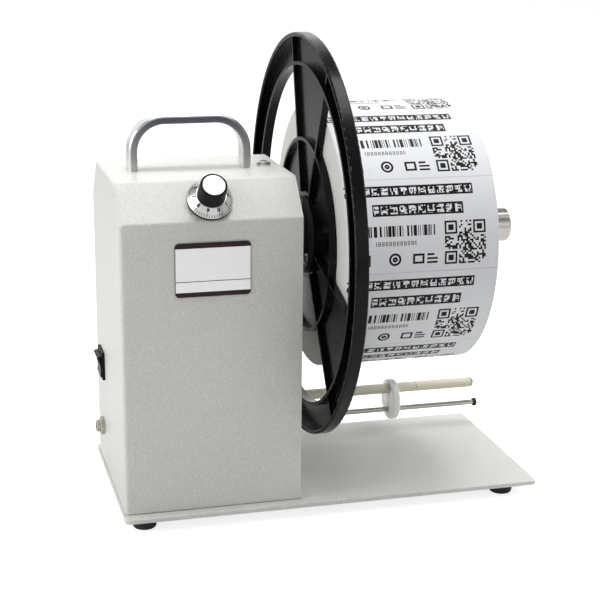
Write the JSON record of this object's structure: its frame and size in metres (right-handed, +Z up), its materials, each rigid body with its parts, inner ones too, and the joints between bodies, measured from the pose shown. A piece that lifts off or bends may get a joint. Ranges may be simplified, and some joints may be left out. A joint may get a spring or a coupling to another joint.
{
  "type": "label rewinder",
  "caption": "Motor driven bench rewinder for label rolls: sheet metal housing with speed knob and rocker switch, bare spindle with spoked reel flange, guide rods, base plate.",
  "frame": {"origin": "on the bench, under the middle of the whole machine's length and depth, at the bottom of the feet", "axes": "+X along the spindle towards its free end, +Y towards the back where the guide rods are, +Z up"},
  "size_m": [0.3116, 0.289, 0.333],
  "materials": {
    "powder_coat": "fine textured powder coat, satin",
    "handle_metal": "polished, slightly satin",
    "reel_black": "moulded, glossy",
    "hub_aluminium": "turned, satin",
    "label_paper": "coated label stock, matt",
    "core_board": "wound board",
    "spindle_chrome": "polished",
    "bearing_steel": "ground",
    "rod_steel": "drawn and polished",
    "screw_steel": "nickel plated",
    "tube_ivory": "extruded",
    "guide_white": "turned nylon",
    "knob_black": "moulded, satin",
    "knob_silver": "spun finish",
    "switch_black": "moulded",
    "inlet_chrome": "plated",
    "foot_rubber": "moulded",
    "plate_foil": "printed foil",
    "belt_rubber": "extruded round belt",
    "board_green": "solder mask",
    "component_black": "moulded",
    "pulley_aluminium": "turned",
    "motor_steel": "zinc plated",
    "bearing_block": "machined",
    "cap_black": "moulded"
  },
  "bodies": {
    "frame": {"base_plate": "powder_coat", "rubber_feet": "foot_rubber", "housing_cover": "powder_coat", "side_plate": "powder_coat", "cover_screws": "screw_steel", "base_screws": "screw_steel", "carry_handle": "handle_metal", "handle_screws": "screw_steel", "name_plate": "plate_foil", "bearing_housing": "bearing_block", "bearing_screws": "screw_steel", "bearing_outer_rings": "bearing_steel", "motor_can": "motor_steel", "gearbox": "motor_steel", "motor_bracket": "motor_steel", "motor_screws": "screw_steel", "drive_belt": "belt_rubber", "control_board": "board_green", "board_standoffs": "screw_steel", "board_components": "component_black", "potentiometer": "motor_steel", "potentiometer_nut": "screw_steel", "switch_body": "switch_black", "power_inlet": "inlet_chrome", "inlet_nut": "inlet_chrome", "guide_rod": "rod_steel", "tension_bar": "rod_steel", "rod_nuts": "screw_steel", "snap_ring": "bearing_steel", "tension_bar_cap": "cap_black"},
    "spindle": {"spindle_shaft": "spindle_chrome", "bearing_inner_rings": "bearing_steel", "retaining_ring": "bearing_steel", "spindle_pulley": "pulley_aluminium", "reel_hub": "hub_aluminium", "hub_screws": "screw_steel", "set_screws": "screw_steel", "reel_flange": "reel_black", "paper_core": "core_board", "label_roll": "label_paper", "grip_rings": "foot_rubber"},
    "motor_drive": {"motor_shaft": "bearing_steel", "motor_pulley": "pulley_aluminium", "motor_pulley_screw": "screw_steel"},
    "speed_knob": {"knob_body": "knob_black", "knob_skirt": "knob_silver", "knob_cap": "knob_silver", "potentiometer_shaft": "rod_steel"},
    "rocker": {"switch_rocker": "switch_black"},
    "inner_guide_tube": {"guide_tube_inner": "tube_ivory"},
    "outer_guide_tube": {"guide_tube_outer": "tube_ivory"},
    "web_edge_guide": {"edge_guide": "guide_white"}
  },
  "joints": [
    {"name": "spindle_spin", "type": "hinge", "parent": "frame", "child": "spindle", "pos_m": [0, 0, 0.1885], "axis": [1, 0, 0], "continuous": true},
    {"name": "motor_spin", "type": "hinge", "parent": "frame", "child": "motor_drive", "pos_m": [-0.095, 0, 0.0965], "axis": [1, 0, 0], "continuous": true},
    {"name": "speed_knob_turn", "type": "hinge", "parent": "frame", "child": "speed_knob", "pos_m": [-0.08725, -0.05658, 0.22761], "axis": [0, 0.744, -0.6681], "range_deg": [0, 280]},
    {"name": "rocker_tilt", "type": "hinge", "parent": "frame", "child": "rocker", "pos_m": [-0.14825, 0.035, 0.091], "axis": [0, 1, 0], "range_deg": [0, 18]},
    {"name": "inner_tube_spin", "type": "hinge", "parent": "frame", "child": "inner_guide_tube", "pos_m": [0, 0.054, 0.046], "axis": [1, 0, 0], "continuous": true},
    {"name": "outer_tube_spin", "type": "hinge", "parent": "frame", "child": "outer_guide_tube", "pos_m": [0.12, 0.054, 0.046], "axis": [1, 0, 0], "continuous": true},
    {"name": "edge_guide_slide", "type": "slide", "parent": "frame", "child": "web_edge_guide", "axis": [1, 0, 0], "range_m": [-0.08, 0.06]}
  ],
  "couplings": [
    {"joint": "motor_spin", "follows": "spindle_spin", "ratio": 2.4}
  ]
}
